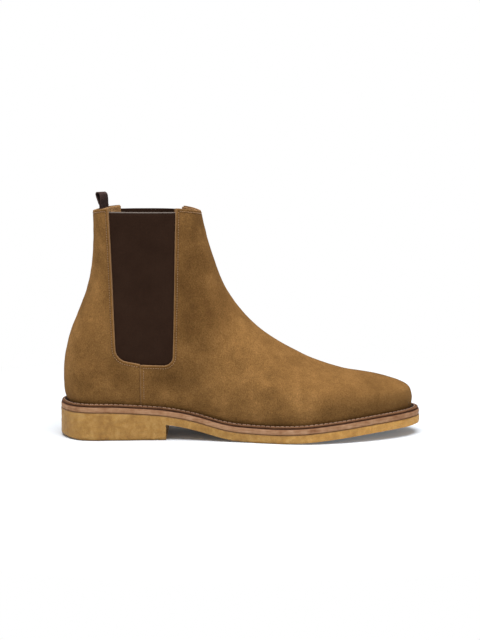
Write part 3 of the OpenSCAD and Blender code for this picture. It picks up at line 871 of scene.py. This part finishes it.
front_rows, back_rows = Row(), Row()
for side in (-1, 1):
    gore_row(front_rows, side, True)
    gore_row(back_rows, side, False)
collar_row(front_rows, True)
collar_row(back_rows, False)
seam_rows(front_rows)
flexes(front_rows.mesh("thread_vamp"), "thread", "vamp_stitching")
opens(back_rows.mesh("thread_quarter"), "thread", "quarter_stitching")


# ---- soles
TOE_OUT = 0.4         # how much further, in proportion, the sole stands out at the toe


def outline(turns, out):
    """Points of the feather line moved out by a distance, in plan."""
    p = last(0.0, turns)[:, :2]
    d = last(0.0, turns + 0.5)[:, :2] - last(0.0, turns - 0.5)[:, :2]
    n = np.stack([d[:, 1], -d[:, 0]], 1)
    if out > 0:
        out = out * (1 + TOE_OUT * ((1 - np.cos(np.radians(turns))) / 2) ** 6)
    return p + np.reshape(out, (-1, 1)) * n / np.linalg.norm(n, axis=1, keepdims=True)


def even_turns(count):
    """Turns spaced evenly along the outline, the same on both sides."""
    t = np.linspace(0, 180, 1441)
    p = (outline(t, 4.0) + outline(360 - t, 4.0) * [1, -1]) / 2
    length = lengths(p)
    half = np.interp(np.linspace(0, length[-1], count // 2 + 1), length, t)
    return np.concatenate([half, 360 - half[-2:0:-1]])


def plate(name, profile, material, count=900, across=18, wall=None, cap=None, values=None, floor=None,
          x_end=None):
    """A closed layer of the sole. profile: (out, height above the crepe's top) from bottom to top, where a
    height may also be a function of x. wall(rings, turns) and cap(points, top) move its points."""
    def height(x, h):
        return h(x) if callable(h) else sole_z(x) + h

    turns = even_turns(count)
    rings = []
    for out, h in profile:
        xy = outline(turns, out)
        if x_end is not None:
            xy = squeeze(xy, x_end)
        rings.append(np.column_stack([xy, height(xy[:, 0], h)]))
    rings = np.array(rings)
    if wall is not None:
        rings = wall(rings, turns)
    if floor is not None:
        rings[..., 2] = np.maximum(rings[..., 2], floor)
    faces = [grid_faces(len(profile), count, wrap_cols=True)]
    points = [rings.reshape(-1, 3)]
    total = len(profile) * count
    half = count // 2
    share = np.linspace(0, 1, across + 2)[1:-1]
    for ring, top in ((0, False), (len(profile) - 1, True)):
        left = rings[ring, 1:half]
        right = rings[ring, :half:-1]
        inner = left[:, None] + (right - left)[:, None] * share[None, :, None]
        inner[..., 2] = height(inner[..., 0], profile[ring][1])
        if floor is not None:
            inner[..., 2] = np.maximum(inner[..., 2], floor)
        if cap is not None:
            inner = cap(inner, top)
        points.append(inner.reshape(-1, 3))
        ids = np.empty((half - 1, across + 2), int)
        ids[:, 0] = ring * count + np.arange(1, half)
        ids[:, -1] = ring * count + np.arange(count - 1, half, -1)
        ids[:, 1:-1] = total + np.arange((half - 1) * across).reshape(half - 1, across)
        total += (half - 1) * across
        q = np.stack([ids[:-1, :-1], ids[:-1, 1:], ids[1:, 1:], ids[1:, :-1]], -1).reshape(-1, 4)
        heel = np.stack([np.full(across + 1, ring * count), ids[0, 1:], ids[0, :-1]], -1)
        toe = np.stack([np.full(across + 1, ring * count + half), ids[-1, :-1], ids[-1, 1:]], -1)
        faces += [f[:, ::-1] for f in (q, heel, toe)] if top else [q, heel, toe]
    points = np.concatenate(points)
    extra = {k: f(points) for k, f in (values or {}).items()}
    return make(name, points, faces, material, sharp=50, values=extra)


def squeeze(xy, x_end):
    """Cuts a plan straight across at x_end by sliding the points beyond it back onto the line."""
    out = xy.copy()
    beyond = out[:, 0] > x_end
    if beyond.any():
        inside = np.where(~beyond)[0]
        upper = inside[out[inside, 1] > 0]
        lower = inside[out[inside, 1] <= 0]
        y_up = out[upper[np.argmax(out[upper, 0])], 1]
        y_low = out[lower[np.argmax(out[lower, 0])], 1]
        k = np.where(beyond)[0]
        f = np.linspace(0, 1, len(k) + 2)[1:-1]
        out[k, 0] = x_end
        out[k, 1] = y_low + (y_up - y_low) * f
    return out


def above_crepe(points):
    return points[:, 2] - sole_z(points[:, 0])


def midsole_wall(rings, turns):
    p = rings.copy()
    for k in range(2, len(rings) - 2):
        p[k, :, :2] += (0.04 * soft_noise(p[k] * [1, 1, 4], 9, 40 + k))[:, None]
    return p


midsole_profile = [(-3, 0.05), (4.2, 0.05), (4.55, 0.12), (4.75, 0.4), (4.85, 1.0), (4.8, 1.35), (4.88, 1.7),
                   (4.9, 2.4), (4.82, 2.8), (4.88, 3.2), (4.85, 3.9), (4.75, 4.4), (4.5, 4.75), (4.1, 4.88),
                   (-3, 4.9)]
midsole = plate("leather_midsole", midsole_profile, MIDSOLE, wall=midsole_wall,
                # painted shade at the midsole's bottom and top, in the joints with the crepe and the welt
                values={"painted_joint_shade": lambda p: (np.clip(1.2 - above_crepe(p) / 0.9, 0, 1)
                                  + np.clip((above_crepe(p) - 4.3) / 0.5, 0, 1))})
flexes(midsole, "sole_leather", "midsole")


HEEL_END = 89.0
SOLE_OUT = 5.0        # the crepe's edge, from the feather line
CREPE_T = 7.0


def wobble(points):
    """How far the crepe's hand-cut edge wanders outward."""
    return 0.16 * soft_noise(points * [1, 1, 2.5], 5.0, 23) + 0.09 * soft_noise(points, 2.2, 29)


def crepe_wall(rings, turns):
    p = rings.copy()
    on_heel = p[0, :, 0] < HEEL_END
    for k, h in enumerate((-CREPE_T, -6.95, -6.8, -6.4)):
        p[k, on_heel, :2] = outline(turns, SOLE_OUT)[on_heel]
        p[k, on_heel, 2] = sole_z(p[k, on_heel, 0]) + h
    outward = outline(turns, 1.0) - outline(turns, 0.0)
    for ring in p:
        ring[:, :2] += wobble(ring)[:, None] * outward
    return p


def worn(x):
    """How far the back of the heel has worn up from the floor."""
    return 1.6 * ease((26 - x) / 26)


def crepe_cap(inner, top):
    if not top:
        inner = inner.copy()
        inner[..., 2] += worn(inner[..., 0]) * (inner[..., 2] < 1)
        ripple = 0.22 * soft_noise(inner, 3.2, 31) + 0.12 * soft_noise(inner, 1.7, 37)
        inner[..., 2] += np.abs(ripple)
    return inner


crepe_profile = [(4.0, -6.99), (4.6, -6.93), (4.9, -6.7)]
crepe_profile += [(SOLE_OUT, h) for h in (-6.2, -5.2, -4.2, -3.2, -2.2)]
crepe_profile += [(4.98, -1.2), (4.95, -0.6), (4.85, -0.15), (4.6, -0.02)]
outsole = plate("crepe_outsole", crepe_profile, CREPE, wall=crepe_wall, cap=crepe_cap, across=60, floor=0.0,
                # painted shade along the crepe's top, in the joint under the midsole
                values={"painted_joint_shade": lambda p: 0.8 * np.clip(1 + above_crepe(p) / 0.8, 0, 1),
                        # painted light, growing towards the toe
                        "painted_toe_light": lambda p: ease((p[:, 0] - 150) / 110)})
flexes(outsole, "crepe", "outsole")

TOP_PIECE_T = 6.0


def crepe_under(x):
    return sole_z(x) - CREPE_T - 0.01


def level_at(z):
    return lambda x: 0 * x + z


def up_the_lift(f):
    return lambda x: TOP_PIECE_T + f * (crepe_under(x) - TOP_PIECE_T)


lift_profile = [(SOLE_OUT, level_at(TOP_PIECE_T + 0.02)), (SOLE_OUT, level_at(TOP_PIECE_T + 0.3))]
lift_profile += [(SOLE_OUT, up_the_lift(f)) for f in np.linspace(0.1, 0.93, 8)]
lift_profile += [(SOLE_OUT, lambda x: crepe_under(x) - 0.3), (4.95, crepe_under)]
piece_profile = [(3.9, level_at(0)), (4.5, level_at(0.2)), (4.9, level_at(0.7))]
piece_profile += [(SOLE_OUT, level_at(f * TOP_PIECE_T)) for f in np.linspace(0.2, 0.92, 7)]
piece_profile += [(SOLE_OUT, level_at(TOP_PIECE_T - 0.2)), (SOLE_OUT, level_at(TOP_PIECE_T))]


def heel_wall(rings, turns):
    p = rings.copy()
    p[..., 2] += worn(p[..., 0]) * np.clip(1 - p[..., 2] / TOP_PIECE_T, 0, 1)
    side = p[:, :, 0] < HEEL_END - 0.01
    outward = outline(turns, 1.0) - outline(turns, 0.0)
    for ring, on_side in zip(p, side):
        w = wobble(ring)
        ring[:, :2] += np.where(on_side, w, 0)[:, None] * outward
        ring[:, 0] += np.where(on_side, 0, w)
    return p


for node, profile in (("heel_lift", lift_profile), ("top_piece", piece_profile)):
    block = plate("crepe_" + node, profile, CREPE, wall=heel_wall, cap=crepe_cap, across=50, x_end=HEEL_END)
    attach(block, "boot")
    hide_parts(node)


# ---- welt
NOTCH_PITCH = 2.1


def welt_piece():
    t = even_turns(1800)
    arc = lengths(outline(t, 3.0))
    pitch = arc[-1] / round(arc[-1] / NOTCH_PITCH)
    notch = np.clip(np.cos(2 * math.pi * arc / pitch), -0.2, 1) * 0.5 + 0.1
    # How far out, how high above the crepe's top, and how deep the notches go.
    profile = [(-6, 5.0, 0), (3.5, 5.0, 0), (3.85, 5.12, 0), (4.1, 5.4, 0), (4.2, 5.75, 0), (4.15, 6.1, 0.2),
               (4.0, 6.42, 0.6), (3.7, 6.75, 1.0), (3.3, 6.93, 1.0), (2.9, 6.93, 0.6), (2.55, 6.78, 0.1),
               (2.2, 6.72, 0), (1.4, 6.82, 0), (0.4, 6.88, 0), (-6, 6.88, 0)]
    rings, edge, painted_joint_shade = [], [], []
    for out, h, amount in profile:
        xy = outline(t, out)
        z = sole_z(xy[:, 0]) + h - 0.4 * amount * (0.5 - notch)
        rings.append(np.column_stack([xy, z]))
        # painted highlight on the crest, strongest on the notch tops
        edge.append(notch + 0.2 if 6.6 < h and 2.7 < out < 3.9 else np.zeros(len(t)))
        # painted shade: full under the bead and on the inner part next to the upper, light on the bead's
        # lower side
        painted_joint_shade.append(np.full(len(t), 1.0 if h < 5.5 or out < 2.6 else 0.25 if h < 6.2 else 0.0))
    points = np.array(rings)
    faces = [grid_faces(len(profile), len(t), wrap_rows=True, wrap_cols=True)]
    return make("leather_welt", points.reshape(-1, 3), faces, WELT, sharp=60,
                values={"edge": np.ravel(edge), "painted_joint_shade": np.ravel(painted_joint_shade)})


flexes(welt_piece(), "welt_leather", "welt")


WELT_PITCH = 4.0


def welt_threads():
    t = even_turns(3600)
    xy = outline(t, 2.2)
    p = np.column_stack([xy, sole_z(xy[:, 0]) + 6.78])
    p = np.vstack([p, p[:1]])
    length = lengths(p)
    count = int(round(length[-1] / WELT_PITCH))
    both = stitch_ends(p, length, count, 0.1)[1]
    up = np.tile([0, 0, 1.0], (count, 1))
    return thread_mesh("thread_welt", both[0], both[1], up, WELT_THREAD_R, WELT_THREAD, lift=0.2)


flexes(welt_threads(), "welt_thread", "welt_stitching")


# ---- inside of the boot
def sock_cap(inner, top):
    if top:
        inner = inner.copy()
        inner[..., 2] += 0.12 * soft_noise(inner, 22, 51)
    return inner


sock_profile = [(-4.9, 11.7), (-4.6, 12.0), (-4.55, 12.6), (-4.8, 13.0), (-5.3, 13.1)]
sock = plate("sock_liner_leather", sock_profile, SOCK, count=700, cap=sock_cap, across=20)
flexes(sock, "sock", "sock_liner")


CUSHION_END = 78.0


def cushion_cap(inner, top):
    if top:
        inner = inner.copy()
        u = np.linspace(-1, 1, inner.shape[1])
        inner[..., 2] += 0.5 * (1 - u**2)[None, :] * np.clip((CUSHION_END - inner[..., 0]) / 6, 0, 1)
    return inner


cushion_profile = [(-12.2, 13.12), (-12.0, 13.4), (-12.1, 14.0), (-12.6, 14.4), (-13.6, 14.6)]
cushion = plate("heel_cushion_pad", cushion_profile, SOCK, count=700, cap=cushion_cap, across=20,
                x_end=CUSHION_END)
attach(cushion, "boot")
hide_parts("heel_cushion")


def bent_copy(node, name, material, slot, bend=flexes):
    """A copy of an inner CAD solid, with its own material, which takes the solid's place."""
    mesh = NODES[node].data.copy()
    mesh.materials.clear()
    mesh.materials.append(material)
    bend(in_scene(name, mesh), slot, node)


bent_copy("insole", "insole_board", INSOLE, "insole_leather")
bent_copy("insole_rib", "insole_rib_canvas", CANVAS, "canvas")
bent_copy("cork_filler", "cork_bed", CORK, "cork")
bent_copy("heel_counter", "heel_counter_board", BOARD, "stiffener", opens)

for node, material in (("toe_puff", BOARD), ("collar_tape_front", TAPE), ("collar_tape_back", TAPE),
                       ("shank", STEEL), ("heel_nails", STEEL)):
    obj = NODES[node]
    for slot_ in obj.material_slots:
        slot_.link = "DATA"
        slot_.material = material


# ---- pull tab
def pull_tab():
    """Ribbed webbing: up from inside the collar, over in a loop and down again."""
    c, s = math.cos(TAB_ANGLE), math.sin(TAB_ANGLE)
    out_dir, side_dir = np.array([c, s, 0]), np.array([-s, c, 0])
    bulge, height, lean = 2.5, TAB_H, math.radians(15)
    mid = [(TAB_T / 2, z) for z in np.linspace(-10.5, 0.0, 22)]
    mid += [(TAB_T / 2 + (bulge - TAB_T / 2 - 0.5) * ease(f) ** 0.8, (height - bulge) * f)
            for f in np.linspace(0.03, 1, 26)]
    mid += [((bulge - 0.5) * math.cos(a), height - bulge + (bulge - 0.5) * math.sin(a))
            for a in np.radians(np.linspace(8, 90, 12))]
    mid = np.array(mid)
    path = np.vstack([mid, (mid[:-1] * [-1, 1])[::-1]])
    length = lengths(path)
    fine = np.arange(0, length[-1], 0.2)
    path = np.stack([np.interp(fine, length, path[:, k]) for k in (0, 1)], 1)
    d = np.gradient(path, axis=0)
    d /= np.linalg.norm(d, axis=1, keepdims=True)
    normal = np.stack([d[:, 1], -d[:, 0]], 1)
    ribs = 0.07 * np.cos(2 * math.pi * fine / 0.8)
    widths = np.concatenate([[-1, -0.985], np.linspace(-0.95, 0.95, 21), [0.985, 1]])
    edge_in = np.where(np.abs(widths) > 0.99, 0.28, np.where(np.abs(widths) > 0.96, 0.1, 0))
    selvedge = np.where((np.abs(widths) > 0.8) & (np.abs(widths) < 0.97), 0.06, 0)
    rings = []
    for face in (1, -1):
        for w, e, k in zip(widths[::face], edge_in[::face], selvedge[::face]):
            off = face * (TAB_T / 2 - e + k + ribs * (abs(w) < 0.8))
            uv = path + normal * off[:, None]
            z = uv[:, 1]
            tilt = np.clip(z, 0, None)
            u = uv[:, 0] + math.tan(lean) * tilt * (tilt / (tilt + 3))
            curl = -0.012 * (w * TAB_W / 2) ** 2 * (z < 2)
            rings.append(TAB_FOOT * [1, 1, 0] + [0, 0, TAB_Z] + np.outer(u + curl, out_dir)
                         + side_dir * (w * TAB_W / 2) + np.outer(z, [0, 0, 1]))
    points = np.stack(rings, 1)
    r, k = points.shape[:2]
    ids = np.arange(r * k).reshape(r, k)
    faces = [grid_faces(r, k, wrap_cols=True), end_strip(ids[0], True), end_strip(ids[-1], False)]
    return make("webbing_pull_tab", points.reshape(-1, 3), faces, WEBBING, sharp=60)


tab = pull_tab()
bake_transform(tab)
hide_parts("pull_tab")


# ---- floor, light and camera
FLOOR_HALF = 30.0     # metres
FLOOR_GAP = 0.0002


def floor_material():
    """White sweep: matt near the boot, where its shadow falls, evenly lit further out. Near the boot it also
    glows blue, more towards the toe, as painted light that makes the shadow there lighter and bluer. It is
    clear from below and where something touches it, so the underside can be seen."""
    m = Nodes("floor")
    away = m.node("VectorMath", {0: m.coords, 1: (0.1, 0, 0)}, operation="DISTANCE").outputs["Value"]
    fade = m.map_range(away, 0.2, 0.42)
    along = m.node("SeparateXYZ", {0: m.coords}).outputs["X"]
    matt = m.node("BsdfDiffuse", {"Color": (0.74, 0.77, 0.81, 1)})
    # painted light: the floor glows blue, more towards the toe, lightening the shadow there and turning it
    # bluer
    glow = m.map_range(along, 0.08, 0.2, 0.02, 0.13)
    painted_shadow_glow = m.node("Emission", {"Color": (0.5, 0.75, 1.0, 1), "Strength": glow})
    near = m.node("AddShader", {0: matt.outputs[0], 1: painted_shadow_glow.outputs[0]}).outputs[0]
    white = m.node("Emission", {"Color": (1, 1, 1, 1)}).outputs[0]
    touching = m.map_range(m.node("LightPath").outputs["Ray Length"], 0.001, 0.004, 1.0, 0.0)
    clear = m.math("MAXIMUM", m.node("NewGeometry").outputs["Backfacing"], touching)
    shader = m.mix_shaders(clear, m.mix_shaders(fade, near, white), m.node("BsdfTransparent").outputs[0])
    m.put(m.out.inputs[0], shader)
    return m.material


def stage_floor():
    mesh = bpy.data.meshes.new("floor")
    s, z = FLOOR_HALF, -FLOOR_GAP
    mesh.from_pydata([(-s, -s, z), (s, -s, z), (s, s, z), (-s, s, z)], [], [(0, 1, 2, 3)])
    mesh.materials.append(floor_material())
    in_scene("floor", mesh)


def aimed(obj, place, target):
    obj.location = place
    obj.rotation_euler = (target - place).to_track_quat("-Z", "Y").to_euler()


def area_light(name, place, target, size, power):
    light = bpy.data.lights.new(name, "AREA")
    light.shape = "RECTANGLE"
    light.size, light.size_y = size
    light.energy = power
    aimed(in_scene(name, light), Vector(place), Vector(target))


def studio_world(strength):
    """An even pale dome that the camera sees as pure white."""
    m = Nodes("studio", "World")
    dome = m.node("Background", {"Color": (1, 1, 1, 1), "Strength": strength}).outputs[0]
    white = m.node("Background", {"Color": (1, 1, 1, 1)}).outputs[0]
    m.put(m.out.inputs[0], m.mix_shaders(m.node("LightPath").outputs["Is Camera Ray"], dome, white))
    bpy.context.scene.world = m.material


scene = bpy.context.scene
scene.view_settings.view_transform = "Standard"
stage_floor()
studio_world(0.33)
area_light("top", (0.1, -0.3, 1.45), (0.1, 0, 0), (1.6, 1.1), 38.5)
area_light("front", (-0.25, -1.5, 0.9), (0.1, 0, 0.1), (0.9, 0.9), 1.5)

camera = bpy.data.cameras.new("camera")
camera.sensor_fit = "VERTICAL"
camera.sensor_height = 36
camera.lens = 80.8
scene.camera = in_scene("camera", camera)
aimed(scene.camera, Vector((0.1043, -1.2, 0.245)), Vector((0.1043, 0.0, 0.0962)))
